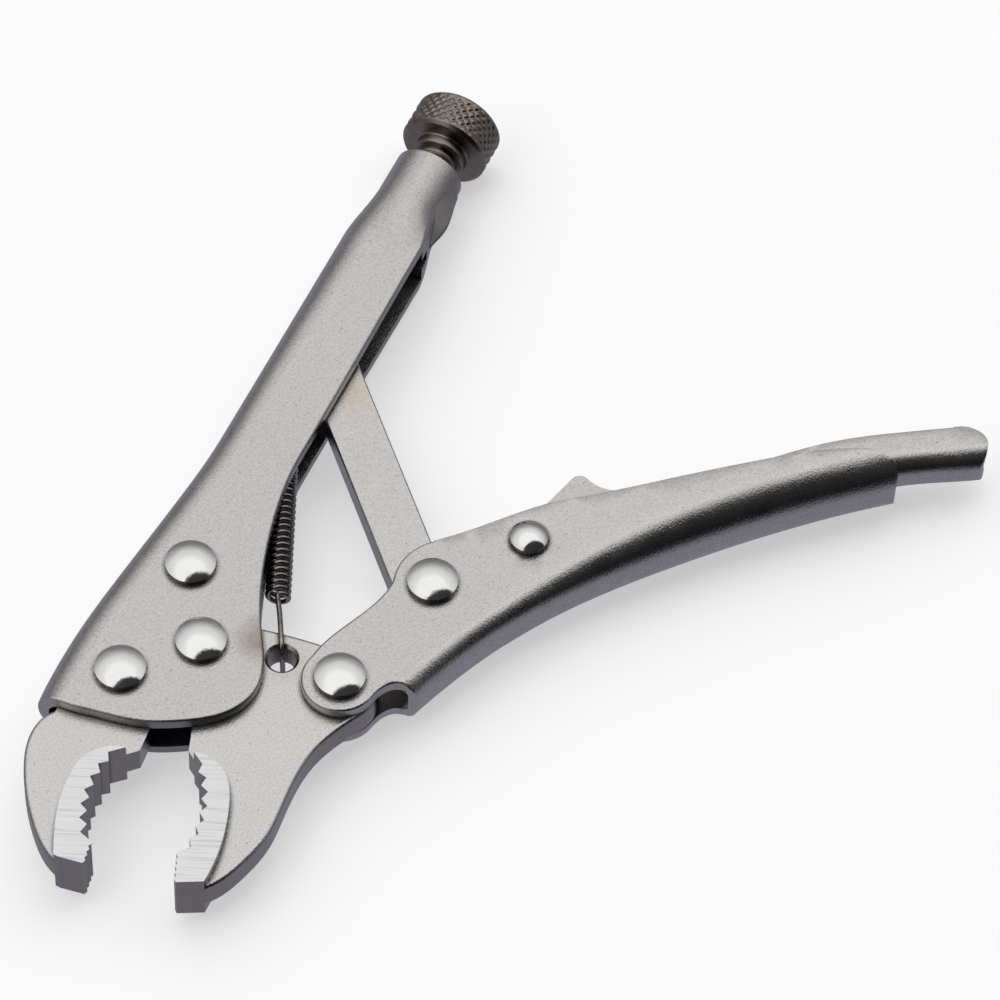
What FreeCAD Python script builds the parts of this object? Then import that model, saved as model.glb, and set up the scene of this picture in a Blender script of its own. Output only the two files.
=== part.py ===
"""Locking pliers, nominal 10 inch, lying on their side in the open position.

Millimetres. The tool is drawn about the movable jaw's pivot: X runs along the
adjusting screw towards its knob, Y points out through the back of the fixed
handle and Z runs along the rivets. The last section moves every piece so that
the origin is the middle of the bounding box's bottom face.
"""
import FreeCAD
import Part
import math
import os

V = FreeCAD.Vector

# ---- driving dimensions -------------------------------------------------
sheet = 2.8                  # handle sheet thickness
half_gap = 3.8               # half the width inside both channels
half_width = half_gap + sheet
tang = 3.6                   # half thickness of the flat forged jaws
nose = 6.6                   # half thickness at the tooth pads
bar = 3.0                    # half thickness of the toggle link
axis_y = 12.2                # height of the screw axis above the jaw pivot

lever_pivot = V(4.7, -31.7, 0)
link_pivot = V(36.4, -39.5, 0)
release_pivot = V(56.3, -54.1, 0)
front_rivet = V(-14.3, 12.7, 0)
rear_rivet = V(17.4, 11.2, 0)
spring_hole = V(5.6, -17.1, 0)
link_end = V(85.7, 10.0, 0)

rivet_shank = 3.4            # radius of the five large rivets
rivet_head = 5.7
small_shank = 2.3            # radius of the release lever's rivet
small_head = 4.3
head_rim = 1.5               # upright rim under each dome
head_height = 3.0
running = 0.05               # radial clearance of every turning fit

channel_back = axis_y + 10.0
channel_edge = axis_y - 10.0
back_radius = 6.4            # the folded back is nearly a half round
edge_round = 0.6             # rolled-over outer edges of the blanked sheet
swell_start = 60.0           # from here the channel widens towards the tube
neck_start = 118.0
neck_half = 8.0              # half width of the channel where the neck starts
neck_end = 137.0
tube_end = 147.0
tube_radius = 8.4
cavity_end = 121.0
seam_half = 0.9              # half width of the welded seam's ridge
thread_radius = 5.0
screw_tip = 92.6
thread_start = 117.0         # the thread stops before the channel narrows
nose_radius = 3.4            # turned-down end that meets the link
screw_shoulder = 151.3
spigot_radius = 3.0
spigot_running = 0.03
knob_face = 154.0
knob_end = 164.4
knob_radius = 10.8
collar_radius = 6.5

lever_back_radius = 4.5      # at the ears; the back gets rounder further on
lever_mouth = 9.3            # where the lever's web begins
ear_radius = 8.6
release_half = 3.5           # half width beside the pivot
release_sheet = 1.6
release_radius = 3.0

tooth_pitch = 8.15           # degrees between teeth on both jaws
wire = 0.6                   # spring wire radius
coil_radius = 3.0
coil_pitch = 1.7
coil_start = V(21.0, -8.6, 0)
coil_end = V(57.5, 7.0, 0)
tongue_x = 64.0              # lanced tongue that holds the spring
tongue_thickness = 2.0
tongue_hole = V(tongue_x + tongue_thickness / 2, 10.3, 0)


# ---- drawing helpers ----------------------------------------------------
def curve(points, start=None, end=None):
    """Smooth curve through the points, optionally with end tangents."""
    vectors = [V(x, y, 0) for x, y in points]
    spline = Part.BSplineCurve()
    if start and end:
        spline.interpolate(Points=vectors, InitialTangent=V(*start, 0), FinalTangent=V(*end, 0))
    else:
        spline.interpolate(vectors)
    return spline.toShape()


def line(a, b):
    return Part.makeLine(V(a[0], a[1], 0), V(b[0], b[1], 0))


def arc(a, b, c):
    return Part.Arc(V(a[0], a[1], 0), V(b[0], b[1], 0), V(c[0], c[1], 0)).toShape()


def lines(points):
    return [line(a, b) for a, b in zip(points, points[1:])]


def polar(centre, radius, degrees):
    angle = math.radians(degrees)
    return (centre[0] + radius * math.cos(angle), centre[1] + radius * math.sin(angle))


def plate(edges, low, high):
    """Closed outline in XY pulled up from low to high."""
    wire_shape = Part.Wire(Part.__sortEdges__(edges))
    face = Part.Face(wire_shape)
    face.translate(V(0, 0, low))
    return face.extrude(V(0, 0, high - low))


def pin(centre, radius, low, high):
    return Part.makeCylinder(radius, high - low, V(centre.x, centre.y, low))


def rod(radius, start, stop):
    """Cylinder on the screw axis."""
    return Part.makeCylinder(radius, stop - start, V(start, axis_y, 0), V(1, 0, 0))


def edges_at(shape, height, test):
    """Edges lying flat at the given height whose middle passes the test."""
    found = []
    for edge in shape.Edges:
        box = edge.BoundBox
        if abs(box.ZMin - height) < 1e-4 and abs(box.ZMax - height) < 1e-4:
            middle = edge.valueAt((edge.FirstParameter + edge.LastParameter) / 2)
            if test(middle):
                found.append(edge)
    return found


def teeth(centre, root, tip, first, pitch, count):
    """Zigzag of root and tip points round an arc."""
    points = []
    for index in range(count):
        points.append(polar(centre, root, first + index * pitch))
        points.append(polar(centre, tip, first + (index + 0.5) * pitch))
    return points


def serration(start, stop, count, depth):
    """Fine notches along a straight line from start to stop."""
    dx = (stop[0] - start[0]) / count
    dy = (stop[1] - start[1]) / count
    length = math.hypot(dx, dy)
    points = []
    for index in range(count):
        x = start[0] + index * dx
        y = start[1] + index * dy
        points.append((x, y))
        points.append((x + 0.45 * dx - depth * dy / length, y + 0.45 * dy + depth * dx / length))
    points.append(stop)
    return points


def channel_wire(centre, outward, half, radius, depth):
    """Cross-section of a folded channel, filled in, seen along its length.

    The centre lies on the back line and outward points out of the back.
    """
    turn = math.sqrt(0.5)

    def at(inward, z):
        return centre - outward * inward + V(0, 0, z)

    def corner(side):
        return at(radius * (1 - turn), side * (half - radius * (1 - turn)))

    edges = [
        Part.makeLine(at(depth, half), at(radius, half)),
        Part.Arc(at(radius, half), corner(1), at(0, half - radius)).toShape(),
        Part.makeLine(at(0, half - radius), at(0, radius - half)),
        Part.Arc(at(0, radius - half), corner(-1), at(radius, -half)).toShape(),
        Part.makeLine(at(radius, -half), at(depth, -half)),
        Part.makeLine(at(depth, -half), at(depth, half))]
    return Part.Wire(edges)


def channel_loft(back_edge, stations, depth, wall=0.0):
    """Loft of channel sections square to the back line; wall shrinks it inwards."""
    sections = []
    spline = back_edge.Curve
    for x, y, half, radius in stations:
        at = spline.parameter(V(x, y, 0))
        tangent = spline.tangent(at)[0]
        outward = V(tangent.y, -tangent.x, 0)
        if outward.y > 0:
            outward = outward * -1
        centre = spline.value(at) - outward * wall
        inner_radius = max(radius - wall, 1.2)
        sections.append(channel_wire(centre, outward, half - wall, inner_radius, depth))
    return Part.makeLoft(sections, True, False)


def beyond(back_edge, point, size=200.0):
    """Large block on the far side of the plane square to the back line at the point."""
    tangent = back_edge.Curve.tangent(back_edge.Curve.parameter(V(point[0], point[1], 0)))[0]
    block = Part.makeBox(size, size, 60, V(0, -size / 2, -30))
    block.Placement = FreeCAD.Placement(V(point[0], point[1], 0), FreeCAD.Rotation(V(1, 0, 0), tangent))
    return block


# ---- fixed handle: folded channel with a rolled, threaded tube end -------
back_points = [(-27.2, 26.8), (-18, 27.4), (-6, 27.3), (10, 26.0), (28, 24.1), (44, 22.6), (60, channel_back)]
back_curve = curve(back_points, (1, 0.12), (1, 0))
front_points = [
    (62, channel_edge), (50, 2.0), (40, 0.6), (28, -2.4), (10, -9.9), (2, -14.4), (-6, -16.3),
    (-14, -13.2), (-20.2, -5.4), (-24.2, 3.2), (-26.2, 14), (-27.2, 26.8)]
front_curve = curve(front_points, (-1, 0), (0, 1))
channel = plate([
    back_curve,
    line((swell_start, channel_back), (neck_start, channel_back)),
    line((neck_start, channel_back), (neck_start, channel_edge)),
    line((neck_start, channel_edge), front_points[0]),
    front_curve], -half_width, half_width)


def on_back(point):
    return point.y > 19 and point.x < neck_start - 1


def on_cheek(point):
    return point.y < 19 and point.x < neck_start - 1


channel = channel.makeFillet(
    back_radius, edges_at(channel, half_width, on_back) + edges_at(channel, -half_width, on_back))
channel = channel.makeFillet(
    edge_round, edges_at(channel, half_width, on_cheek) + edges_at(channel, -half_width, on_cheek))
channel = channel.cut(Part.makeBox(100, 60, 40, V(swell_start, -20, -20)))


def handle_section(x, half, radius):
    """Rounded box section of the straight channel, filled in."""
    low = channel_edge
    turn = math.sqrt(0.5)
    rounds = {
        1: (half - radius, channel_back - radius, radius, 1, 1),
        3: (radius - half, channel_back - radius, radius, -1, 1),
        5: (edge_round - half, low + edge_round, edge_round, -1, -1),
        7: (half - edge_round, low + edge_round, edge_round, 1, -1)}
    corner = [
        (half, low + edge_round), (half, channel_back - radius), (half - radius, channel_back),
        (radius - half, channel_back), (-half, channel_back - radius), (-half, low + edge_round),
        (edge_round - half, low), (half - edge_round, low)]
    sides = []
    for index in range(8):
        a = corner[index]
        b = corner[(index + 1) % 8]
        start = V(x, a[1], a[0])
        stop = V(x, b[1], b[0])
        if index in rounds:
            z, y, bend, side_z, side_y = rounds[index]
            middle = V(x, y + side_y * bend * turn, z + side_z * bend * turn)
            sides.append(Part.Arc(start, middle, stop).toShape())
        else:
            sides.append(Part.makeLine(start, stop))
    return Part.Wire(sides)


def tube_section(x):
    """The tube's circle split into arcs that match the box section."""
    corner = [polar((0, axis_y), tube_radius, a) for a in (-50, 30, 82, 98, 150, 230, 245, 295)]
    middles = [polar((0, axis_y), tube_radius, a) for a in (-10, 56, 90, 124, 190, 237.5, 270, 302.5)]
    sides = [
        Part.Arc(V(x, a[1], a[0]), V(x, m[1], m[0]), V(x, b[1], b[0])).toShape()
        for a, m, b in zip(corner, middles, corner[1:] + corner[:1])]
    return Part.Wire(sides)


back_flat = half_width - back_radius
swell = Part.makeLoft([
    handle_section(x, half, half - back_flat)
    for x, half in ((swell_start, half_width), (75, 6.75), (90, 7.2), (105, 7.7), (neck_start, neck_half))],
    True, False)
neck = Part.makeLoft(
    [handle_section(neck_start, neck_half, neck_half - back_flat),
     handle_section(neck_start + 2, neck_half, neck_half - back_flat),
     tube_section(neck_end - 2), tube_section(neck_end)], True, False)
tube = rod(tube_radius, neck_end, tube_end)
tube = tube.makeFillet(0.7, [e for e in tube.Edges if abs(e.BoundBox.XMin - tube_end) < 1e-4])


def seam_section(x, low):
    """Teardrop tip: two faces leave the tube at a tangent and meet at the seam."""
    spread = math.acos(tube_radius / (axis_y - low))
    y = axis_y - tube_radius * math.cos(spread) + 0.05
    z = tube_radius * math.sin(spread)
    return Part.makePolygon([
        V(x, y, z), V(x, low, seam_half), V(x, low, -seam_half), V(x, y, -z), V(x, y, z)])


seam_low = [(127.0, 2.8), (129.5, 2.4), (133.5, 1.8), (137, 2.1), (140, 2.7), (143.5, 3.3)]
seam_ridge = Part.makeLoft([seam_section(x, low) for x, low in seam_low], True, False)

inner_back = curve([(x, y - sheet) for x, y in back_points], (1, 0.12), (1, 0))
cavity = plate([
    inner_back,
    line((swell_start, channel_back - sheet), (neck_start, channel_back - sheet)),
    line((neck_start, channel_back - sheet), (neck_start, -30)),
    line((neck_start, -30), (-27.2, -30)),
    line((-27.2, -30), (-27.2, 24.0))], -half_gap, half_gap)
inner_radius = back_radius - sheet
cavity = cavity.makeFillet(
    inner_radius, edges_at(cavity, half_gap, on_back) + edges_at(cavity, -half_gap, on_back))
cavity = cavity.cut(Part.makeBox(100, 80, 40, V(swell_start, -40, -20)))
cavity_sections = [
    channel_wire(V(x, channel_back - sheet, 0), V(0, 1, 0), half - sheet, half - sheet - back_flat, 40)
    for x, half in ((swell_start, half_width), (75, 6.75), (90, 7.2), (105, 7.7), (cavity_end, neck_half))]
swell_cavity = Part.makeLoft(cavity_sections, True, False)
slot = plate([
    line((120, -5), (124.5, -5)), line((124.5, -5), (124.5, 6)), arc((124.5, 6), (122.5, 8), (120, 8.5)),
    line((120, 8.5), (120, -5))], -1.9, 1.9)

fixed_handle = channel.fuse([swell, neck, tube, seam_ridge])
fixed_handle = fixed_handle.cut(cavity).cut(swell_cavity)
fixed_handle = fixed_handle.cut(slot)
fixed_handle = fixed_handle.cut(rod(thread_radius + running, 112, tube_end + 1))
seam = Part.makeBox(16.5, 4, 0.5, V(126.5, 0, -0.25))
fixed_handle = fixed_handle.cut(seam)

tongue = Part.makeBox(tongue_thickness, 12, 4.0, V(tongue_x, 8.2, -2.0))
tongue = tongue.makeFillet(1.2, [e for e in tongue.Edges if e.BoundBox.YMax < 8.3 and e.BoundBox.XLength > 1])
window = Part.makeBox(10, 8, 4.2, V(tongue_x + tongue_thickness, 17.5, -2.1))
fixed_handle = fixed_handle.fuse(tongue).cut(window)
fixed_handle = fixed_handle.cut(
    Part.makeCylinder(1.4, 6, V(tongue_x - 2, tongue_hole.y, 0), V(1, 0, 0)))
for centre in (front_rivet, rear_rivet, V(0, 0, 0)):
    fixed_handle = fixed_handle.cut(pin(centre, rivet_shank, -10, 10))
fixed_handle = fixed_handle.removeSplitter()

# ---- fixed jaw: flat forging with raised, milled tooth pads --------------
fixed_centre = (-40.5, -19.0)
fixed_teeth = teeth(fixed_centre, 25.3, 23.7, 75.9, tooth_pitch, 6)
fixed_teeth += [polar(fixed_centre, 25.3, 124.9), (-56.0, -1.2)]
fixed_fine = serration((-56.0, -1.2), (-61.7, -2.2), 4, 0.45)[1:]
fixed_bite = [(-31.6, 2.6)] + fixed_teeth + fixed_fine
fixed_outer = curve(
    [(-62.5, 3.2), (-60.6, 7.6), (-55.6, 13.2), (-50.6, 17.3), (-44.6, 21.0), (-37.4, 23.8), (-32.4, 24.0),
     (-27.6, 21.6)])
seat = 10.0                  # concave seat round the movable jaw's boss
fixed_plate = plate(
    lines(fixed_bite) + [
        line((-61.7, -2.2), (-62.5, 3.2)),
        fixed_outer,
        line((-27.6, 21.6), (-6, 21.4)), line((-6, 21.4), (10, 20.2)),
        line((10, 20.2), (23, 18.6)), arc((23, 18.6), (25.5, 12), (22.5, 3.4)),
        line((22.5, 3.4), polar((0, 0), seat, 24)),
        arc(polar((0, 0), seat, 24), polar((0, 0), seat, 90), polar((0, 0), seat, 166)),
        line(polar((0, 0), seat, 166), (-22.8, 1.0)), line((-22.8, 1.0), (-29.4, 0.4)),
        line((-29.4, 0.4), (-31.6, 2.6))], -tang, tang)
fixed_plate = fixed_plate.makeFillet(
    0.9, edges_at(fixed_plate, tang, lambda p: p.y > 12 and p.x < -30)
    + edges_at(fixed_plate, -tang, lambda p: p.y > 12 and p.x < -30))
fixed_pad = plate(
    lines(fixed_bite) + [
        line((-61.7, -2.2), (-62.5, 3.2)), line((-62.5, 3.2), (-62.4, 4.4)),
        curve([(-62.4, 4.4), (-53.6, 8.3), (-48.3, 9.8), (-43, 10.4), (-37.6, 9.9), (-34.3, 7.7), (-31.6, 2.6)])],
    -nose, nose)
fixed_jaw = fixed_plate.fuse(fixed_pad)
for centre in (front_rivet, rear_rivet):
    fixed_jaw = fixed_jaw.cut(pin(centre, rivet_shank, -10, 10))
fixed_jaw = fixed_jaw.removeSplitter()

# ---- movable jaw: flat forging, boss on the jaw pivot, lug on the lever --
moving_centre = (-46.0, 4.0)
moving_teeth = teeth(moving_centre, 25.5, 24.1, -45.9, -tooth_pitch, 7)[:-1] + [(-50.2, -19.4)]
moving_fine = serration((-50.2, -19.4), (-57.4, -22.3), 5, -0.4)[1:]
moving_bite = [(-26.3, -11.2)] + moving_teeth + moving_fine
boss = 9.5
moving_front = curve(
    [(-54.6, -27.7), (-53.2, -28.9), (-45.1, -32.5), (-36.4, -34.2), (-28.5, -33.8), (-20.6, -33.3), (-12.8, -34.0),
     (-6.5, -36.1), (-0.5, -39.0)])
moving_plate = plate(
    lines(moving_bite) + [
        line((-57.4, -22.3), (-54.6, -27.7)),
        moving_front,
        arc((-0.5, -39.0), (5.5, -40.3), (11.3, -37.3)),
        curve([(11.3, -37.3), (13.1, -33.4), (13.2, -27.5), (12.4, -18.9), (11.0, -9.9), (10.0, -5.0),
               polar((0, 0), boss, -6)]),
        arc(polar((0, 0), boss, -6), polar((0, 0), boss, 90), polar((0, 0), boss, 204)),
        line(polar((0, 0), boss, 204), (-19.2, -7.3)),
        line((-19.2, -7.3), (-25.0, -9.3)),
        line((-25.0, -9.3), (-26.3, -11.2))], -tang, tang)
moving_plate = moving_plate.makeFillet(
    0.9, edges_at(moving_plate, tang, lambda p: p.y < -30 and p.x < -7)
    + edges_at(moving_plate, -tang, lambda p: p.y < -30 and p.x < -7))
moving_pad = plate(
    lines(moving_bite) + [
        line((-57.4, -22.3), (-54.6, -27.7)),
        curve([(-54.6, -27.7), (-44.1, -26.8), (-37.5, -25.0), (-31.3, -22.3), (-28.0, -19.6), (-26.2, -16.0),
               (-26.3, -11.2)])], -nose, nose)
movable_jaw = moving_plate.fuse(moving_pad)
movable_jaw = movable_jaw.cut(pin(V(0, 0, 0), rivet_shank + running, -10, 10))
movable_jaw = movable_jaw.cut(pin(lever_pivot, rivet_shank + running, -10, 10))
movable_jaw = movable_jaw.cut(pin(spring_hole, 3.2, -10, 10))
for side in (1, -1):
    chamfer = Part.makeCone(3.2, 3.9, 0.7, V(spring_hole.x, spring_hole.y, side * (tang - 0.7)), V(0, 0, side))
    movable_jaw = movable_jaw.cut(chamfer)
movable_jaw = movable_jaw.removeSplitter()

# ---- lever handle: folded channel with two ears on the movable jaw -------
lever_stations = [
    (34.4, -58.7, half_width, lever_back_radius), (36.2, -59.7, half_width, lever_back_radius),
    (43.6, -64.2, 6.8, 5.2), (52.4, -70.3, 7.3, 6.2),
    (63.2, -78.8, 8.1, 7.3), (73.7, -87.9, 8.7, 8.2), (84.2, -97.6, 9.0, 8.6), (94.6, -108.0, 9.0, 8.6),
    (103.8, -118.1, 9.0, 8.6), (113.4, -129.0, 9.0, 8.6)]
lever_back = curve(
    [(lever_mouth, -48.3), (27.7, -55.4), (34.4, -58.7)] + [(x, y) for x, y, half, radius in lever_stations[2:]])
lever_top = [(46.8, -34.8), (53.6, -41.6), (66.6, -53.9), (75.2, -65.2), (84.4, -76.7), (93.4, -87.8), (103.6, -100.6)]
lever_corner = [lever_top[-1], (108.6, -108.4), (111.4, -114.6), (111.6, -119.0)]
ear_top = polar(lever_pivot, ear_radius, 72)
ear_foot = polar(lever_pivot, ear_radius, 254)
ear_edges = [
    arc(ear_top, polar(lever_pivot, ear_radius, 165), ear_foot),
    curve([ear_foot, (6.4, -41.2), (8.6, -42.9), (lever_mouth, -45.6)])]
shoulder = [
    arc((46.8, -34.8), (40.6, -31.0), (33.4, -31.2)),
    curve([(33.4, -31.2), (29.5, -30.9), (20.4, -27.8), ear_top])]
far_back = (lever_stations[-1][0], lever_stations[-1][1])
ears = plate(
    ear_edges + shoulder + [
        line((lever_mouth, -45.6), (lever_mouth, -48.3)),
        lever_back,
        line(far_back, (120, -110)),
        line((120, -110), lever_top[-1]),
        curve(lever_top)], -half_width, half_width)


def under(point):
    """True along the lever's back, below the line joining the two pivots."""
    return point.y < -50 and point.y < -0.72 * point.x - 33


def lever_cheek(point):
    return not under(point) and point.y > -100


def under_inside(point):
    return point.x > lever_mouth and point.y < -0.72 * point.x - 28


beyond_ears = beyond(lever_back, lever_stations[0])
ears = ears.makeFillet(
    lever_back_radius, edges_at(ears, half_width, under) + edges_at(ears, -half_width, under))
ears = ears.makeFillet(
    edge_round, edges_at(ears, half_width, lever_cheek) + edges_at(ears, -half_width, lever_cheek))
ears = ears.cut(beyond_ears)
top_line = curve(lever_top)
corner_line = curve(lever_corner, (0.62, -0.78), (-0.35, -1))
grip_outline = plate(
    [top_line, corner_line, arc(lever_corner[-1], (110.6, -121.6), (108.0, -122.6)),
     line((108.0, -122.6), (90, -130)), line((90, -130), (20, -80)), line((20, -80), (20, -34.8)),
     line((20, -34.8), lever_top[0])], -12, 12)
grip = channel_loft(lever_back, lever_stations, 40.0).common(grip_outline)

ear_cavity = plate([
    line((-14, -10), (-14, -60)), line((-14, -60), (lever_mouth - 1.0, -60)),
    line((lever_mouth - 1.0, -60), (lever_mouth - 1.0, -46.0)),
    curve([(lever_mouth - 1.0, -46.0), (28.8, -52.8), (35.8, -56.2), (53.4, -67.6)]),
    line((53.4, -67.6), (80, -10)), line((80, -10), (-14, -10))], -half_gap, half_gap)
ear_cavity = ear_cavity.makeFillet(
    lever_back_radius - sheet,
    edges_at(ear_cavity, half_gap, under_inside) + edges_at(ear_cavity, -half_gap, under_inside))
ear_cavity = ear_cavity.cut(beyond_ears)
grip_cavity = channel_loft(lever_back, lever_stations, 60.0, sheet)
lever_handle = ears.fuse(grip).cut(ear_cavity).cut(grip_cavity)
for centre, radius in ((lever_pivot, rivet_shank), (link_pivot, rivet_shank), (release_pivot, small_shank)):
    lever_handle = lever_handle.cut(pin(centre, radius, -10, 10))
for low, high in ((half_width, 12), (-12, -half_width)):
    lever_handle = lever_handle.cut(pin(release_pivot, small_head, low, high))
lever_handle = lever_handle.removeSplitter()

# ---- toggle link: blanked bar from the lever to the screw's end ----------
bar_half = 6.1
along = V(math.cos(math.radians(43.6)), math.sin(math.radians(43.6)), 0)
across = V(-along.y, along.x, 0)
offset = 1.9                 # the bar's middle line misses the rivet by this
bar_foot = link_pivot + across * offset
eye = 6.8
left_low = bar_foot + across * bar_half + along * 4
right_low = bar_foot - across * bar_half + along * 12
left_high = link_end + across * bar_half
right_high = link_end - across * bar_half
eye_right = link_pivot + V(math.cos(math.radians(-36)), math.sin(math.radians(-36)), 0) * eye
eye_left = link_pivot + V(math.cos(math.radians(144)), math.sin(math.radians(144)), 0) * eye
eye_low = link_pivot - along * eye
toggle_link = plate([
    line(left_low, left_high),
    arc(left_high, link_end + along * bar_half, right_high),
    line(right_high, right_low),
    line(right_low, eye_right),
    arc(eye_right, eye_low, eye_left),
    line(eye_left, left_low)], -bar, bar)
toggle_link = toggle_link.cut(pin(link_pivot, rivet_shank + running, -10, 10))
toggle_link = toggle_link.makeChamfer(
    0.35, edges_at(toggle_link, bar, lambda p: p.distanceToPoint(V(link_pivot.x, link_pivot.y, p.z)) > 4)
    + edges_at(toggle_link, -bar, lambda p: p.distanceToPoint(V(link_pivot.x, link_pivot.y, p.z)) > 4))

# ---- release lever: thin channel nested in the lever handle --------------
release_stations = [
    (72.0, -77.4, release_half, release_radius), (73.4, -78.9, release_half, release_radius),
    (84.0, -90.4, 4.2, 3.8), (96.4, -103.4, 5.0, 4.5),
    (104.6, -112.6, 5.4, 4.9), (112.3, -122.6, 5.4, 4.9), (116.6, -129.4, 5.4, 4.9), (123.4, -140.6, 5.4, 4.9)]
release_back = curve(
    [(54.0, -61.0), (62.0, -67.6), (72.0, -77.4)] + [(x, y) for x, y, half, radius in release_stations[2:]])
release_spine = [(95.0, -87.2), (101.2, -93.4), (111.2, -104.2), (120.0, -116.4), (127.6, -128.6)]
nub = [
    arc((54.0, -61.0), (49.6, -56.0), (53.4, -48.9)),
    line((53.4, -48.9), (66.6, -52.2)),
    line((66.6, -52.2), (77.6, -55.2)),
    arc((77.6, -55.2), (79.4, -56.4), (79.5, -58.4)),
    curve([(79.5, -58.4), (78.6, -62.2), (79.6, -66.6), (86.4, -77.0), (95.0, -87.2)])]
release_far = (release_stations[-1][0], release_stations[-1][1])
release_root = plate(
    nub + [curve(release_spine), line(release_spine[-1], release_far), release_back],
    -release_half, release_half)


def release_under(point):
    return point.y < -62 and point.y < -0.95 * point.x - 6.0


beyond_root = beyond(release_back, release_stations[0])
release_root = release_root.makeFillet(
    release_radius,
    edges_at(release_root, release_half, release_under) + edges_at(release_root, -release_half, release_under))
release_root = release_root.cut(beyond_root)
tail_outline = plate(
    [nub[4], curve(release_spine),
     curve([release_spine[-1], (129.4, -132.8), (128.2, -136.8), (124.6, -138.2), (120.6, -137.6)]),
     line((120.6, -137.6), (90, -130)), line((90, -130), (50, -90)), line((50, -90), (50, -58.4)),
     line((50, -58.4), (79.5, -58.4))], -12, 12)
tail = channel_loft(release_back, release_stations, 40.0).common(tail_outline)
root_cavity = plate([
    line((40, -61), (54.8, -59.6)), curve([(54.8, -59.6), (62.9, -66.2), (73.1, -76.2), (92, -96.4)]),
    line((92, -96.4), (110, -30)), line((110, -30), (40, -30)), line((40, -30), (40, -61))],
    release_sheet - release_half, release_half - release_sheet)
root_cavity = root_cavity.cut(beyond_root)
tail_cavity = channel_loft(release_back, release_stations, 60.0, release_sheet)
release_lever = release_root.fuse(tail).cut(root_cavity).cut(tail_cavity)
release_lever = release_lever.cut(pin(release_pivot, small_shank + running, -10, 10))
release_lever = release_lever.removeSplitter()


# ---- rivets: low domes both sides on a plain shank -----------------------
def rivet(centre, shank, head):
    """Pin with the same low domed head pressed on both ends."""
    top = half_width + head_height
    rim = half_width + head_rim
    profile = [
        Part.Arc(V(0, 0, top), V(head * 0.62, 0, rim + (top - rim) * 0.64), V(head, 0, rim)).toShape(),
        Part.makeLine(V(head, 0, rim), V(head, 0, half_width)),
        Part.makeLine(V(head, 0, half_width), V(0, 0, half_width)),
        Part.makeLine(V(0, 0, half_width), V(0, 0, top))]
    upper = Part.Face(Part.Wire(profile)).revolve(V(0, 0, 0), V(0, 0, 1), 360)
    lower = upper.copy()
    lower.rotate(V(0, 0, 0), V(1, 0, 0), 180)
    solid = pin(V(0, 0, 0), shank, -half_width, half_width).fuse([upper, lower])
    solid.translate(V(centre.x, centre.y, 0))
    return solid


# ---- adjusting screw and its knurled knob --------------------------------
spindle = rod(thread_radius, thread_start, screw_shoulder)
spindle = spindle.makeChamfer(1.2, [e for e in spindle.Edges if abs(e.BoundBox.XMax - thread_start) < 1e-4])
screw_nose = rod(nose_radius, screw_tip, thread_start + 1)
screw_nose = screw_nose.makeFillet(
    1.2, [e for e in screw_nose.Edges if abs(e.BoundBox.XMax - screw_tip) < 1e-4])
spigot = rod(spigot_radius, screw_shoulder - 1, knob_end - 4)
spindle = spindle.fuse([screw_nose, spigot]).removeSplitter()
knob = rod(knob_radius, knob_face, knob_end)
knob = knob.makeChamfer(0.9, [e for e in knob.Edges if e.BoundBox.XLength < 1e-4])
collar = rod(collar_radius, screw_shoulder + 0.05, knob_face + 1)
collar = collar.makeFillet(0.6, [e for e in collar.Edges if abs(e.BoundBox.XMax - screw_shoulder - 0.05) < 1e-4])
knob = knob.fuse(collar)
knob = knob.cut(rod(spigot_radius + spigot_running, screw_shoulder - 1, knob_end - 3.9)).removeSplitter()

# ---- return spring: close-wound coil with a hook at each end -------------
coil_axis = coil_end - coil_start
turns = int(round(coil_axis.Length / coil_pitch))
ribs = []
step = coil_axis.Length / turns
valley = coil_radius - 0.35
for index in range(turns):
    left = index * step
    ribs.append(Part.Arc(
        V(left, valley, 0), V(left + step / 2, coil_radius, 0), V(left + step, valley, 0)).toShape())
ribs += [
    Part.makeLine(V(coil_axis.Length, valley, 0), V(coil_axis.Length, coil_radius - 2 * wire, 0)),
    Part.makeLine(V(coil_axis.Length, coil_radius - 2 * wire, 0), V(0, coil_radius - 2 * wire, 0)),
    Part.makeLine(V(0, coil_radius - 2 * wire, 0), V(0, valley, 0))]
coil = Part.Face(Part.Wire(ribs)).revolve(V(0, 0, 0), V(1, 0, 0), 360)
coil.Placement = FreeCAD.Placement(coil_start, FreeCAD.Rotation(V(1, 0, 0), coil_axis))
coil_turn = FreeCAD.Rotation(V(1, 0, 0), coil_axis)


def hook(points):
    """Round wire swept along a smooth path."""
    path = Part.BSplineCurve()
    path.interpolate([V(*p) for p in points])
    path_shape = path.toShape()
    start = path_shape.valueAt(path_shape.FirstParameter)
    direction = path_shape.tangentAt(path_shape.FirstParameter)
    section = Part.Wire(Part.makeCircle(wire, start, direction))
    return Part.Wire(path_shape).makePipeShell([section], True, True)


low_root = coil_start + coil_turn.multVec(V(0.6, 0, coil_radius - wire))
high_root = coil_end + coil_turn.multVec(V(-0.6, 0, coil_radius - wire))
low_hook = hook([
    tuple(low_root), (16.2, -11.4, 3.5), (12.0, -13.7, 4.35), (9.2, -15.2, 4.35), (7.6, -16.1, 3.4),
    (7.2, -16.4, 0.5), (7.0, -16.6, -4.4)])
high_hook = hook([
    tuple(high_root), (60.0, 8.4, 1.4), (62.4, 9.3, 0.1), (tongue_hole.x, tongue_hole.y, 0),
    (67.6, 11.0, 0), (68.6, 12.6, 0), (68.0, 14.2, 0)])
return_spring = coil.fuse([low_hook, high_hook]).removeSplitter()

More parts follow.
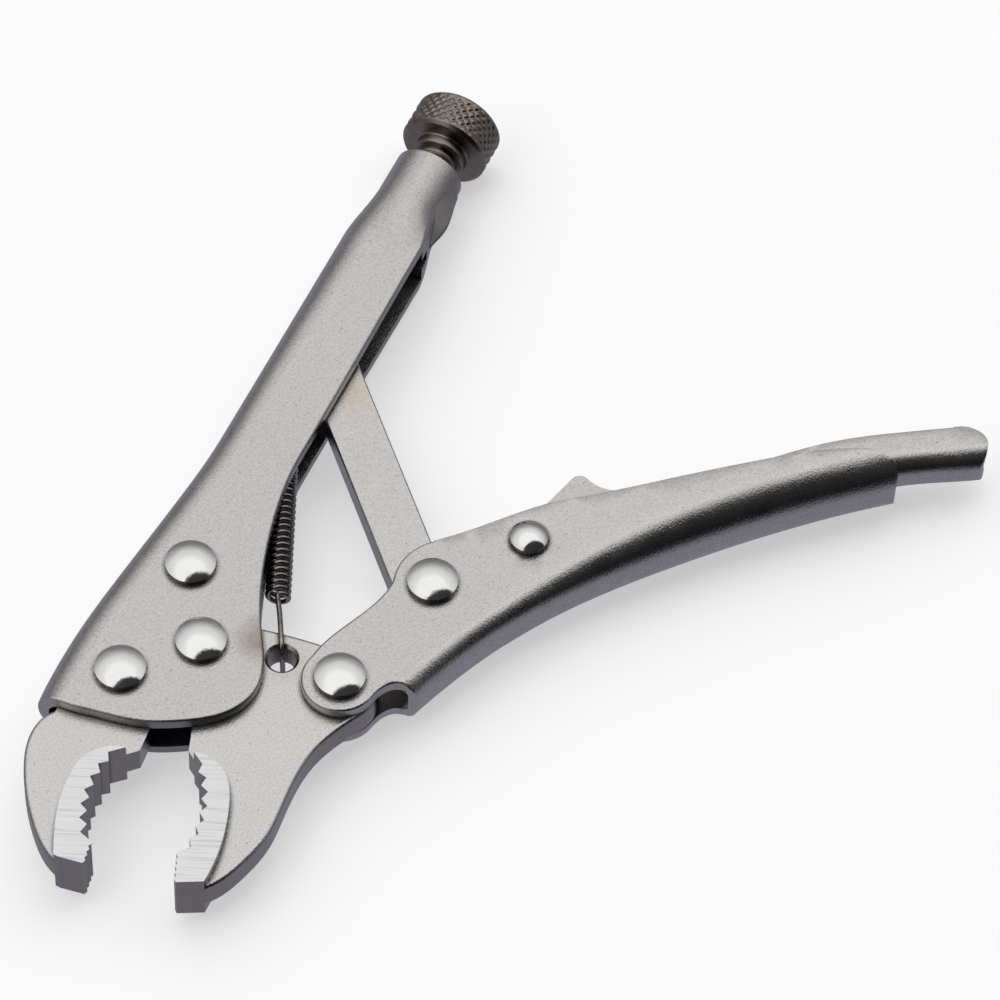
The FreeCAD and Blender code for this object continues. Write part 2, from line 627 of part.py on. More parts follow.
# ---- write every piece in the shared frame -------------------------------
nodes = {
    "fixed_handle": fixed_handle,
    "fixed_jaw": fixed_jaw,
    "movable_jaw": movable_jaw,
    "lever_handle": lever_handle,
    "toggle_link": toggle_link,
    "release_lever": release_lever,
    "adjusting_spindle": spindle,
    "adjusting_knob": knob,
    "return_spring": return_spring,
    "fixed_jaw_rivet_front": rivet(front_rivet, rivet_shank, rivet_head),
    "fixed_jaw_rivet_rear": rivet(rear_rivet, rivet_shank, rivet_head),
    "jaw_pivot_rivet": rivet(V(0, 0, 0), rivet_shank, rivet_head),
    "lever_pivot_rivet": rivet(lever_pivot, rivet_shank, rivet_head),
    "link_pivot_rivet": rivet(link_pivot, rivet_shank, rivet_head),
    "release_lever_rivet": rivet(release_pivot, small_shank, small_head)}

box = FreeCAD.BoundBox()
for shape in nodes.values():
    box.add(shape.optimalBoundingBox(False))
shift = V(-box.Center.x, -box.Center.y, -box.ZMin)

os.makedirs("parts", exist_ok=True)
for name, shape in nodes.items():
    moved = shape.copy()
    moved.translate(shift)
    moved.exportStep("parts/" + name + ".step")
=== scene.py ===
import math

import bpy
from mathutils import Matrix, Vector


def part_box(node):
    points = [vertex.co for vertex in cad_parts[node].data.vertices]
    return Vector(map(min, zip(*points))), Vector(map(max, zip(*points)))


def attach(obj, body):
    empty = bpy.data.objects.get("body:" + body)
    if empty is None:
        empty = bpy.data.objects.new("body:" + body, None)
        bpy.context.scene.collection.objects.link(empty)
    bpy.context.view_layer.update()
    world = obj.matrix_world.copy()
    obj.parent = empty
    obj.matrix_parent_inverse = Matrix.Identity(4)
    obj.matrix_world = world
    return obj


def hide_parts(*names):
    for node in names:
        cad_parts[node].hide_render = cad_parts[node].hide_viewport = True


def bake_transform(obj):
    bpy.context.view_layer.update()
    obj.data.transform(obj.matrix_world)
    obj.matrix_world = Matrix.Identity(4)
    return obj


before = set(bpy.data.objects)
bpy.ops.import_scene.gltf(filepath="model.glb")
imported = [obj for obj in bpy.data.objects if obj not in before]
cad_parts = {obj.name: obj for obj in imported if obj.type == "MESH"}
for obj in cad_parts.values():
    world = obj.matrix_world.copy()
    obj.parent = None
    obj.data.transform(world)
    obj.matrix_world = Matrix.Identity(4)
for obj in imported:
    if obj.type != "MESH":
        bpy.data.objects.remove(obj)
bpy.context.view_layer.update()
MM = 0.001


# ---- where things are -----------------------------------------------------
# The pliers were drawn about the pin that the movable jaw turns on: X runs
# along the adjusting screw, Y out through the back of the fixed handle, and
# Z along the rivets. Every place below is given in millimetres from that pin.
pin_low, pin_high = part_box("jaw_pivot_rivet")
jaw_pin = (pin_low + pin_high) / 2


def place(x, y, z=0.0):
    """A point given from the jaw pin in millimetres, in the shared frame."""
    return jaw_pin + Vector((x, y, z)) * MM


# ---- camera ---------------------------------------------------------------
# A long lens looks down at the open jaws from past their tips, so the
# handles run away up and to the right, with hardly any perspective.
view_azimuth = math.radians(291.7)
view_elevation = math.radians(55.0)
view_roll = math.radians(3.27)
view_distance = 1136.4
toward_camera = Vector((
    math.sin(view_azimuth) * math.cos(view_elevation),
    -math.cos(view_azimuth) * math.cos(view_elevation),
    math.sin(view_elevation)))
aim = place(67.74, -42.03)
camera_data = bpy.data.cameras.new("camera")
camera_data.lens = 180.0
camera_data.sensor_width = 36.0
camera_data.clip_start = 0.05
camera_data.clip_end = 50.0
camera = bpy.data.objects.new("camera", camera_data)
bpy.context.scene.collection.objects.link(camera)
camera.rotation_mode = "QUATERNION"
camera.rotation_quaternion = (
    (-toward_camera).to_track_quat("-Z", "Y") @ Matrix.Rotation(view_roll, 3, "Z").to_quaternion())
camera.location = aim + toward_camera * view_distance * MM
bpy.context.scene.camera = camera
bpy.context.scene.view_settings.view_transform = "Standard"


# ---- studio: table, light tent and the dark gap below it -------------------
# The pliers lie on a pale table under a white light tent. Below the tent's
# rim the room is dark, and the table reads grey to metal lying close to it.
# The maker stands in front, so the tent has a dark opening on that side.
def to_linear(colour):
    """One sRGB hex value as the linear colour that a socket takes."""
    parts = [int(colour[i:i + 2], 16) / 255 for i in (1, 3, 5)]
    return [p / 12.92 if p <= 0.04045 else ((p + 0.055) / 1.055) ** 2.4 for p in parts] + [1.0]


def add_node(tree, kind, settings=(), **inputs):
    """Adds a node to a tree.

    Inputs are sockets by name, or by number as s0, s1. A socket given as a value is linked.
    """
    node = tree.nodes.new(kind)
    for name, value in dict(settings).items():
        setattr(node, name, value)
    for name, value in inputs.items():
        if name[0] == "s" and name[1:].isdigit():
            socket = node.inputs[int(name[1:])]
        else:
            wanted = name.replace("_", " ")
            socket = next(s for s in node.inputs if s.name == wanted and s.enabled)
        if isinstance(value, bpy.types.NodeSocket):
            tree.links.new(value, socket)
        else:
            socket.default_value = value
    return node


table_colour = "#F4F4F4"
table_half = 4000.0
table_level = -0.2
table_mesh = bpy.data.meshes.new("table_top")
table_mesh.from_pydata(
    [(x * table_half * MM, y * table_half * MM, table_level * MM)
     for x, y in ((-1, -1), (1, -1), (1, 1), (-1, 1))],
    [], [(0, 1, 2, 3)])
table = bpy.data.objects.new("table_top", table_mesh)
bpy.context.scene.collection.objects.link(table)
# Matt white laminate, which reads as an even paper white. Its own faint light
# stands in for light that comes up through the table, as in a light box.
laminate = bpy.data.materials.new("matt_white_laminate")
laminate.use_nodes = True
laminate_shader = laminate.node_tree.nodes["Principled BSDF"]
laminate_shader.inputs["Base Color"].default_value = to_linear(table_colour)
laminate_shader.inputs["Roughness"].default_value = 0.9
laminate_shader.inputs["Specular IOR Level"].default_value = 0.2
laminate_shader.inputs["Emission Color"].default_value = to_linear("#FFFFFF")
laminate_shader.inputs["Emission Strength"].default_value = 0.46
table_mesh.materials.append(laminate)
table.visible_glossy = False

tent_light = 1.13
tent_colour = to_linear("#FFFFFF")
gap_colour = to_linear("#7C797C")
table_seen = to_linear("#908E99")
room = bpy.data.worlds.new("light_tent")
bpy.context.scene.world = room
room.use_nodes = True
sky = room.node_tree
sky.nodes.clear()
direction = add_node(sky, "ShaderNodeTexCoord").outputs["Generated"]
height = add_node(sky, "ShaderNodeSeparateXYZ", Vector=direction).outputs["Z"]
profile = add_node(sky, "ShaderNodeMapRange", s0=height, s1=-1.0, s2=1.0, s3=0.0, s4=1.0).outputs[0]
bands = add_node(sky, "ShaderNodeValToRGB", Fac=profile)
# A stop is a height, from -1 straight down to 1 straight up, and its colour.
# The tent brightens step by step from its rim to its top.
stops = [(-1.0, table_seen), (-0.24, table_seen), (-0.09, gap_colour), (0.20, gap_colour)]
for level, share in ((0.42, 0.42), (0.60, 0.70), (0.77, 0.82), (0.86, 1.0)):
    stops.append((level, [c * share for c in tent_colour]))
ramp = bands.color_ramp
while len(ramp.elements) < len(stops):
    ramp.elements.new(0.5)
for element, (level, colour) in zip(ramp.elements, stops):
    element.position = (level + 1) / 2
    element.color = list(colour[:3]) + [1.0]
opening_azimuth = math.radians(-125)
opening_elevation = math.radians(35)
opening_edge = (0.68, 0.745)
opening_left = 0.035
edge_raggedness = 0.08
opening = (
    math.cos(opening_elevation) * math.cos(opening_azimuth),
    math.cos(opening_elevation) * math.sin(opening_azimuth), math.sin(opening_elevation))
facing = add_node(
    sky, "ShaderNodeVectorMath", {"operation": "DOT_PRODUCT"}, s0=direction, s1=opening).outputs["Value"]
ragged = add_node(sky, "ShaderNodeTexNoise", Vector=direction, Scale=5.0, Detail=2.0).outputs["Fac"]
edge = add_node(
    sky, "ShaderNodeMath", {"operation": "MULTIPLY_ADD"},
    s0=ragged, s1=edge_raggedness, s2=facing).outputs[0]
closed = add_node(
    sky, "ShaderNodeMapRange",
    s0=edge, s1=opening_edge[0], s2=opening_edge[1], s3=1.0, s4=opening_left).outputs[0]
lit = add_node(
    sky, "ShaderNodeMix", {"data_type": "RGBA", "blend_type": "MULTIPLY"},
    Factor=1.0, A=bands.outputs["Color"], B=closed).outputs["Result"]
tent = add_node(sky, "ShaderNodeBackground", Color=lit, Strength=tent_light).outputs[0]
paper = add_node(sky, "ShaderNodeBackground", Color=to_linear("#F6F6F6"), Strength=1.0).outputs[0]
seen_by_lens = add_node(sky, "ShaderNodeLightPath").outputs["Is Camera Ray"]
both = add_node(sky, "ShaderNodeMixShader", s0=seen_by_lens, s1=tent, s2=paper).outputs[0]
add_node(sky, "ShaderNodeOutputWorld", Surface=both)


# ---- fixed handle ---------------------------------------------------------
# Mild steel sheet 2.8 mm thick, blanked, folded into a channel and rolled to
# a tube at the screw end. It is barrel-finished with grit, then nickel
# plated, which leaves a satin skin with a pebbly grain and dark pinholes.
grain_size = 0.50
pinhole_size = 0.8
swell_size = 9.0
nook_reach = 1.3
grain_low = ("#5A5757", 0.26)
pinhole_dark = ("#2F2C2B", 0.22)
wall_shade = ("#4C4643", 0.45)
# The nook colour is painted shade mixed with grime, laid where another piece is close.
nook_shade_and_grime = ("#1E1A18", 0.92)


def blasted_nickel(name, colour, roughness, grain, depth, stains=(), edge=None):
    """Nickel plate over a grit-blasted surface. The grain and its depth are in millimetres.

    A stain is a centre, a reach in millimetres, a strength and a colour. Where edge is given,
    only the walls that face that way darken, as the sheet's cut edge does.
    """
    material = bpy.data.materials.new(name)
    material.use_nodes = True
    tree = material.node_tree
    shader = tree.nodes["Principled BSDF"]
    shader.inputs["Metallic"].default_value = 1.0
    where = add_node(tree, "ShaderNodeTexCoord").outputs["Object"]
    pebbles = add_node(
        tree, "ShaderNodeTexNoise",
        Vector=where, Scale=1 / (grain * MM), Detail=3.0, Roughness=0.7).outputs["Fac"]
    swell = add_node(
        tree, "ShaderNodeTexNoise",
        Vector=where, Scale=1 / (swell_size * MM), Detail=3.0, Roughness=0.6).outputs["Fac"]
    spots = add_node(
        tree, "ShaderNodeTexNoise", Vector=where, Scale=1 / (pinhole_size * MM), Detail=0.0).outputs["Fac"]
    holes = add_node(tree, "ShaderNodeMapRange", s0=spots, s1=0.20, s2=0.25, s3=1.0, s4=0.0).outputs[0]
    low = add_node(tree, "ShaderNodeMapRange", s0=pebbles, s1=0.34, s2=0.60, s3=1.0, s4=0.0).outputs[0]
    # Painted shade with grime and thin plate: where another piece covers the surface, as ambient occlusion
    # finds, the colour darkens almost to black, broken up by the grain, and the roughness rises.
    nook = add_node(
        tree, "ShaderNodeAmbientOcclusion", {"samples": 6}, Distance=nook_reach * MM).outputs["AO"]
    shade = add_node(tree, "ShaderNodeMapRange", s0=nook, s1=0.45, s2=0.93, s3=1.0, s4=0.0).outputs[0]
    gritty = add_node(
        tree, "ShaderNodeMath", {"operation": "MULTIPLY_ADD"}, s0=pebbles, s1=4.0, s2=-1.2).outputs[0]
    shade_and_grime = add_node(
        tree, "ShaderNodeMath", {"operation": "MULTIPLY", "use_clamp": True}, s0=shade, s1=gritty).outputs[0]
    # Walls across the sheet carry thinner, darker plate than its flat faces.
    facing = add_node(tree, "ShaderNodeNewGeometry").outputs["Normal"]
    level = add_node(tree, "ShaderNodeSeparateXYZ", Vector=facing).outputs["Z"]
    level = add_node(tree, "ShaderNodeMath", {"operation": "ABSOLUTE"}, s0=level).outputs[0]
    wall = add_node(tree, "ShaderNodeMapRange", s0=level, s1=0.45, s2=0.7, s3=1.0, s4=0.0).outputs[0]
    if edge:
        toward = add_node(
            tree, "ShaderNodeVectorMath", {"operation": "DOT_PRODUCT"}, s0=facing, s1=edge).outputs["Value"]
        cut_side = add_node(tree, "ShaderNodeMapRange", s0=toward, s1=0.1, s2=0.35, s3=0.0, s4=1.0).outputs[0]
        wall = add_node(tree, "ShaderNodeMath", {"operation": "MULTIPLY"}, s0=wall, s1=cut_side).outputs[0]
    tone = add_node(
        tree, "ShaderNodeMix", {"data_type": "RGBA"}, Factor=swell,
        A=[c * 0.93 for c in to_linear(colour)[:3]] + [1.0],
        B=[min(1.0, c * 1.07) for c in to_linear(colour)[:3]] + [1.0]).outputs["Result"]
    # The last layer paints shade, with some grime, into the nooks that another piece covers.
    layers = [(low, grain_low), (holes, pinhole_dark), (wall, wall_shade), (shade_and_grime, nook_shade_and_grime)]
    for mask, (dirt, strength) in layers:
        amount = add_node(tree, "ShaderNodeMath", {"operation": "MULTIPLY"}, s0=mask, s1=strength).outputs[0]
        tone = add_node(
            tree, "ShaderNodeMix", {"data_type": "RGBA"}, Factor=amount, A=tone,
            B=to_linear(dirt)).outputs["Result"]
    for centre, reach, strength, stain in stains:
        away = add_node(
            tree, "ShaderNodeVectorMath", {"operation": "DISTANCE"},
            s0=where, s1=tuple(centre)).outputs["Value"]
        near = add_node(
            tree, "ShaderNodeMapRange",
            s0=away, s1=reach * MM, s2=reach * 0.2 * MM, s3=0.0, s4=strength).outputs[0]
        blot = add_node(tree, "ShaderNodeMath", {"operation": "MULTIPLY"}, s0=near, s1=swell).outputs[0]
        tone = add_node(
            tree, "ShaderNodeMix", {"data_type": "RGBA"}, Factor=blot, A=tone,
            B=to_linear(stain)).outputs["Result"]
    tree.links.new(tone, shader.inputs["Base Color"])
    dull = add_node(
        tree, "ShaderNodeMapRange",
        s0=swell, s1=0.3, s2=0.7, s3=roughness - 0.04, s4=roughness + 0.05).outputs[0]
    dull = add_node(
        tree, "ShaderNodeMath", {"operation": "MULTIPLY_ADD"}, s0=shade_and_grime, s1=0.3, s2=dull).outputs[0]
    tree.links.new(dull, shader.inputs["Roughness"])
    relief = add_node(
        tree, "ShaderNodeMath", {"operation": "MULTIPLY_ADD"}, s0=holes, s1=-0.12, s2=pebbles).outputs[0]
    bump = add_node(
        tree, "ShaderNodeBump", Strength=1.0, Distance=depth * MM, Height=relief).outputs["Normal"]
    tree.links.new(bump, shader.inputs["Normal"])
    return material


def finish_node(name, material):
    """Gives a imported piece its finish."""
    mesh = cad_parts[name].data
    mesh.materials.clear()
    mesh.materials.append(material)


oil_stain = "#6B4A3A"
sheet_nickel = blasted_nickel(
    "satin_nickel_on_pressed_steel", "#CAC8C6", 0.22, grain_size, 0.085,
    [(place(7.0, -12.5, 6.6), 8.0, 1.1, oil_stain)], (0.0, -1.0, 0.0))
finish_node("fixed_handle", sheet_nickel)


# ---- fixed jaw ------------------------------------------------------------
# Drop-forged carbon steel, blasted and nickel plated, riveted between the
# handle's cheeks. The tooth pads stand proud and are milled flat and bright.
forged_nickel = blasted_nickel(
    "satin_nickel_on_forged_steel", "#D1CFCD", 0.21, 0.45, 0.06,
    [(place(5.6, -17.1, 3.6), 8.0, 0.35, oil_stain)])
forged_tree = forged_nickel.node_tree
forged_shader = forged_tree.nodes["Principled BSDF"]
tang_half = 3.6
pad_rise = 2.6
pad_blend = 0.2
grinding_turn = math.radians(-68)
pad_height = add_node(
    forged_tree, "ShaderNodeSeparateXYZ",
    Vector=add_node(forged_tree, "ShaderNodeTexCoord").outputs["Object"]).outputs["Z"]
pad_height = add_node(
    forged_tree, "ShaderNodeMath", {"operation": "SUBTRACT"}, s0=pad_height, s1=jaw_pin.z).outputs[0]
pad_height = add_node(forged_tree, "ShaderNodeMath", {"operation": "ABSOLUTE"}, s0=pad_height).outputs[0]
on_pad = add_node(
    forged_tree, "ShaderNodeMapRange", s0=pad_height,
    s1=(tang_half + pad_rise) * MM, s2=(tang_half + pad_rise + pad_blend) * MM, s3=0.0, s4=1.0).outputs[0]
# Grinding lines run across the jaws, about four to the millimetre; drawn at
# two so that they can still be told apart.
across_jaws = add_node(
    forged_tree, "ShaderNodeMapping", {"vector_type": "TEXTURE"},
    Vector=add_node(forged_tree, "ShaderNodeTexCoord").outputs["Object"],
    Rotation=(0.0, 0.0, grinding_turn), Scale=(1.0, 0.03, 1.0)).outputs[0]
grinding = add_node(
    forged_tree, "ShaderNodeTexNoise", Vector=across_jaws, Scale=1 / (18.0 * MM), Detail=2.0).outputs["Fac"]
lines = add_node(
    forged_tree, "ShaderNodeMapRange", s0=grinding, s1=0.34, s2=0.48, s3=0.26, s4=0.0).outputs[0]
lines = add_node(forged_tree, "ShaderNodeMath", {"operation": "MULTIPLY"}, s0=lines, s1=on_pad).outputs[0]
milled = add_node(
    forged_tree, "ShaderNodeMix", {"data_type": "RGBA"}, Factor=lines, A=to_linear("#D6D6D6"),
    B=to_linear("#6E6B6A")).outputs["Result"]
# Only the flat tops of the pads are ground; their sides keep the grain.
level = add_node(
    forged_tree, "ShaderNodeSeparateXYZ",
    Vector=add_node(forged_tree, "ShaderNodeNewGeometry").outputs["Normal"]).outputs["Z"]
level = add_node(forged_tree, "ShaderNodeMath", {"operation": "ABSOLUTE"}, s0=level).outputs[0]
level = add_node(forged_tree, "ShaderNodeMapRange", s0=level, s1=0.7, s2=0.9, s3=0.0, s4=1.0).outputs[0]
ground = add_node(forged_tree, "ShaderNodeMath", {"operation": "MULTIPLY"}, s0=on_pad, s1=level).outputs[0]
forged_colour = forged_shader.inputs["Base Color"]
grainy = forged_colour.links[0].from_socket
forged_tone = add_node(
    forged_tree, "ShaderNodeMix", {"data_type": "RGBA"}, Factor=ground, A=grainy, B=milled).outputs["Result"]
forged_tree.links.new(forged_tone, forged_colour)
forged_height = forged_tree.nodes["Bump"].inputs["Height"]
rough_bump = forged_height.links[0].from_socket
smoothed = add_node(
    forged_tree, "ShaderNodeMix", {"data_type": "FLOAT"}, s0=ground, s2=rough_bump, s3=0.5).outputs[0]
forged_tree.links.new(smoothed, forged_height)
finish_node("fixed_jaw", forged_nickel)


# ---- movable jaw ----------------------------------------------------------
# The same forging and finish as the fixed jaw, turning on the jaw pin. The
# lever's ears are riveted to its lug, and the spring hooks into its hole.
finish_node("movable_jaw", forged_nickel)


# ---- lever handle ---------------------------------------------------------
# The same pressed sheet as the fixed handle, folded the other way round. Its
# plate has the same satin grain, and its cut edges, which face in, are darker.
lever_easing = 0.35
folded_nickel = blasted_nickel(
    "satin_nickel_on_folded_steel", "#CAC8C6", 0.22, grain_size, 0.085, (), (0.75, 0.65, 0.0))
finish_node("lever_handle", folded_nickel)


def ease_edges(name, width):
    """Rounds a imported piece's sharp blanked edges; the width is in millimetres."""
    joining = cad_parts[name].modifiers.new("joined_faces", "WELD")
    joining.merge_threshold = 0.001 * MM
    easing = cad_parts[name].modifiers.new("eased_edges", "BEVEL")
    easing.width = width * MM
    easing.segments = 2
    easing.limit_method = "ANGLE"
    easing.angle_limit = math.radians(50)


ease_edges("lever_handle", lever_easing)


# ---- toggle link ----------------------------------------------------------
# A flat bar blanked from steel strip, between the lever and the end of the
# screw. Rolled strip is smoother, so its plate shows a finer, brighter grain.
bar_nickel = blasted_nickel(
    "satin_nickel_on_flat_bar", "#CDCBC9", 0.22, 0.45, 0.05,
    [(place(78.0, -1.0, 3.0), 6.0, 0.5, "#C8A878")])
finish_node("toggle_link", bar_nickel)


# ---- release lever --------------------------------------------------------
# Thinner steel sheet folded into a narrow channel that nests inside the
# lever and turns on its own rivet. Its plate looks like the lever's.
release_easing = 0.3
thin_nickel = blasted_nickel(
    "satin_nickel_on_thin_sheet", "#CAC8C6", 0.23, grain_size, 0.08, (), (0.75, 0.65, 0.0))
finish_node("release_lever", thin_nickel)
ease_edges("release_lever", release_easing)


# ---- rivets ---------------------------------------------------------------
# Steel rivets with low domed heads, tumbled before plating. To the eye each
# head is a small mirror, bright on top, and the dark down its steep rim is
# painted shade in the colour.
dent_size = 2.2
rivet_nickel = bpy.data.materials.new("polished_nickel_rivet")
rivet_nickel.use_nodes = True
rivet_tree = rivet_nickel.node_tree
rivet_shader = rivet_tree.nodes["Principled BSDF"]
rivet_shader.inputs["Metallic"].default_value = 1.0
rivet_where = add_node(rivet_tree, "ShaderNodeTexCoord").outputs["Object"]
dents = add_node(
    rivet_tree, "ShaderNodeTexNoise",
    Vector=rivet_where, Scale=1 / (dent_size * MM), Detail=2.0).outputs["Fac"]
rivet_up = add_node(
    rivet_tree, "ShaderNodeSeparateXYZ",
    Vector=add_node(rivet_tree, "ShaderNodeNewGeometry").outputs["Normal"]).outputs["Z"]
rivet_up = add_node(rivet_tree, "ShaderNodeMath", {"operation": "ABSOLUTE"}, s0=rivet_up).outputs[0]
# Painted shade: the steep rim of each head is coloured near black, where its reflection would be dark.
rivet_rim_painted_shade = add_node(
    rivet_tree, "ShaderNodeMapRange", s0=rivet_up, s1=0.55, s2=0.80, s3=0.85, s4=0.0).outputs[0]
rivet_tone = add_node(
    rivet_tree, "ShaderNodeMix", {"data_type": "RGBA"}, Factor=rivet_rim_painted_shade, A=to_linear("#E2E1E0"),
    B=to_linear("#453D38")).outputs["Result"]
rivet_tree.links.new(rivet_tone, rivet_shader.inputs["Base Color"])
rivet_polish = add_node(
    rivet_tree, "ShaderNodeMapRange", s0=dents, s1=0.3, s2=0.7, s3=0.07, s4=0.14).outputs[0]
rivet_tree.links.new(rivet_polish, rivet_shader.inputs["Roughness"])
rivet_bump = add_node(
    rivet_tree, "ShaderNodeBump", Strength=1.0, Distance=0.05 * MM, Height=dents).outputs["Normal"]
rivet_tree.links.new(rivet_bump, rivet_shader.inputs["Normal"])
for rivet in [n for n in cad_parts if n.endswith("rivet") or "_rivet_" in n]:
    finish_node(rivet, rivet_nickel)


# ---- adjusting screw ------------------------------------------------------
# M10 screw of free-cutting steel, 1.5 mm pitch, turned down to a plain nose
# that meets the link. It is left in dull nickel over the cutting marks.
def link_mesh(name, verts, faces, material):
    """A smooth-shaded piece from points in metres."""
    mesh = bpy.data.meshes.new(name)
    mesh.from_pydata(verts, [], faces)
    mesh.validate()
    mesh.polygons.foreach_set("use_smooth", [True] * len(mesh.polygons))
    mesh.materials.append(material)
    piece = bpy.data.objects.new(name, mesh)
    bpy.context.scene.collection.objects.link(piece)
    return piece


def turned(name, stations, columns, radius_at, material):
    """A turned piece on the screw axis.

    Stations are places along the axis, and radius_at gives each column's radius there.
    """
    verts = []
    for station in stations:
        for column in range(columns):
            angle = 2 * math.pi * column / columns
            x, radius = radius_at(station, angle)
            verts.append(place(x, screw_axis + radius * math.cos(angle), radius * math.sin(angle)))
    faces = []
    for row in range(len(stations) - 1):
        for column in range(columns):
            a = row * columns + column
            b = row * columns + (column + 1) % columns
            faces.append((a, b, b + columns, a + columns))
    for row, turn in ((0, 1), (len(stations) - 1, -1)):
        ring = [row * columns + c for c in range(columns)]
        verts.append(sum((verts[i] for i in ring), Vector()) / columns)
        for column in range(columns):
            pair = (ring[column], ring[(column + 1) % columns])
            faces.append((len(verts) - 1,) + pair[::-turn])
    return link_mesh(name, verts, faces, material)


knob_low, knob_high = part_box("adjusting_knob")
screw_axis = ((knob_low + knob_high) / 2 - jaw_pin).y / MM
thread_pitch = 1.5
thread_crest = 5.0
thread_depth = 0.92
thread_crest_share = 0.14
thread_flank_share = 0.62
thread_runout = 0.8
thread_first_cut = 0.2
thread_lead = 1.2
thread_steps = 12
screw_columns = 72
thread_from = 117.0
thread_to = 150.2
screw_nose = 3.4
screw_end = 92.6
screw_shoulder = 151.3

# Dull nickel on turned steel: a warm dark grey with soft, broken highlights.
steel = bpy.data.materials.new("dull_nickel_on_turned_steel")
steel.use_nodes = True
steel_tree = steel.node_tree
steel_shader = steel_tree.nodes["Principled BSDF"]
steel_shader.inputs["Metallic"].default_value = 1.0
steel_where = add_node(steel_tree, "ShaderNodeTexCoord").outputs["Object"]
steel_fine = add_node(
    steel_tree, "ShaderNodeTexNoise", Vector=steel_where, Scale=1 / (0.35 * MM), Detail=3.0).outputs["Fac"]
steel_broad = add_node(
    steel_tree, "ShaderNodeTexNoise", Vector=steel_where, Scale=1 / (3.0 * MM), Detail=3.0).outputs["Fac"]
steel_tone = add_node(
    steel_tree, "ShaderNodeMix", {"data_type": "RGBA"}, Factor=steel_broad,
    A=to_linear("#6E665F"), B=to_linear("#A09890")).outputs["Result"]
steel_tree.links.new(steel_tone, steel_shader.inputs["Base Color"])
steel_dull = add_node(
    steel_tree, "ShaderNodeMapRange", s0=steel_broad, s1=0.3, s2=0.7, s3=0.20, s4=0.32).outputs[0]
steel_tree.links.new(steel_dull, steel_shader.inputs["Roughness"])
steel_bump = add_node(
    steel_tree, "ShaderNodeBump", Strength=1.0, Distance=0.015 * MM, Height=steel_fine).outputs["Normal"]
steel_tree.links.new(steel_bump, steel_shader.inputs["Normal"])


def screw_radius(x, angle):
    """The thread's radius at a place along the screw and round it."""
    if x < thread_from:
        return x, screw_nose
    phase = (x / thread_pitch - angle / (2 * math.pi)) % 1.0
    off_crest = abs(2 * phase - 1)
    cut = min(1.0, max(0.0, (off_crest - thread_crest_share) / thread_flank_share))
    fade_out = min(1.0, max(0.0, (thread_to - x) / thread_runout))
    fade_in = min(1.0, (x - thread_from) / thread_runout + thread_first_cut)
    lead = min(1.0, (x - thread_from) / thread_lead) * (thread_crest - screw_nose)
    return x, min(thread_crest - thread_depth * cut * fade_out * fade_in, screw_nose + lead)


step = thread_pitch / thread_steps
screw_stations = [screw_end, screw_end + 0.001] + [screw_end + 1.0, thread_from - 0.01]
screw_stations += [thread_from + i * step for i in range(int((screw_shoulder - thread_from) / step))]
screw_stations += [screw_shoulder - 0.01, screw_shoulder]
screw = turned("threaded_screw", screw_stations, screw_columns, screw_radius, steel)
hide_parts("adjusting_spindle")
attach(screw, "spindle")


# ---- knurled knob ---------------------------------------------------------
# Free-cutting steel, turned with a plain collar and face, diamond knurled by
# two crossing rollers, and pressed on the screw's spigot.
knob_face = 154.0
knob_back = 164.38
knob_radius = 10.8
knob_chamfer = 0.9
collar_radius = 6.5
collar_from = 151.35
knurl_count = 28
knurl_period = 2 * math.pi * knob_radius / knurl_count
knurl_depth = 0.30
knurl_flank_share = 0.72
knurl_samples = 14
knurl_margin = 0.35
knurl_fade_from = 0.7
knurl_fade_length = 1.4
knurl_from = knob_face + knurl_margin
knurl_to = knob_back - knurl_margin
collar_round = 0.6


def knob_point(station, angle):
    """Place along the axis and radius, with the knurl cut into the rim."""
    x, radius, weight = station
    if weight > 0:
        across = angle / (2 * math.pi) * knurl_count
        along = (x - knurl_from) / knurl_period
        first = 1 - abs(2 * ((across + along) % 1.0) - 1)
        second = 1 - abs(2 * ((across - along) % 1.0) - 1)
        radius -= knurl_depth * weight * (1 - min(1.0, min(first, second) / knurl_flank_share))
    return x, radius


# A station is a place along the axis, a radius and the knurl's weight there.
# First the collar's flat end and rounded rim, then its run into the face.
knob_stations = [(collar_from, 0.4, 0), (collar_from, 5.6, 0), (collar_from, collar_radius - collar_round, 0)]
for degrees in (30, 60, 90):
    turn = math.radians(degrees)
    knob_stations.append((
        collar_from + collar_round * (1 - math.cos(turn)),
        collar_radius - collar_round * (1 - math.sin(turn)), 0))
knob_stations += [
    (knob_face - 0.5, collar_radius, 0), (knob_face - 0.15, collar_radius + 0.08, 0),
    (knob_face, collar_radius + 0.35, 0), (knob_face, collar_radius + 0.6, 0),
    (knob_face, knob_radius - knob_chamfer - 0.25, 0), (knob_face + 0.04, knob_radius - knob_chamfer, 0),
    (knob_face + 0.1, knob_radius - knob_chamfer + 0.06, 0.0)]
knurl_step = knurl_period / knurl_samples
rows = int((knurl_to - knurl_from) / knurl_step)
for row in range(rows + 1):
    x = knurl_from + row * knurl_step
    inside = min(x - knob_face, knob_back - x)
    radius = knob_radius - max(0.0, knob_chamfer - inside)
    weight = min(1.0, max(0.0, (inside - knurl_fade_from) / knurl_fade_length))
    knob_stations.append((x, radius, weight))
# Last the back chamfer and the back face, with a shallow ring turned in it.
knob_stations += [
    (knob_back - 0.1, knob_radius - knob_chamfer + 0.1, 0), (knob_back, knob_radius - knob_chamfer - 0.1, 0),
    (knob_back, knob_radius - 1.6, 0), (knob_back - 0.15, 4.2, 0), (knob_back - 0.15, 3.2, 0),
    (knob_back, 3.0, 0), (knob_back, 0.4, 0)]
knob = turned("knurled_knob", knob_stations, knurl_count * knurl_samples, knob_point, steel)
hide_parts("adjusting_knob")
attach(knob, "knob")


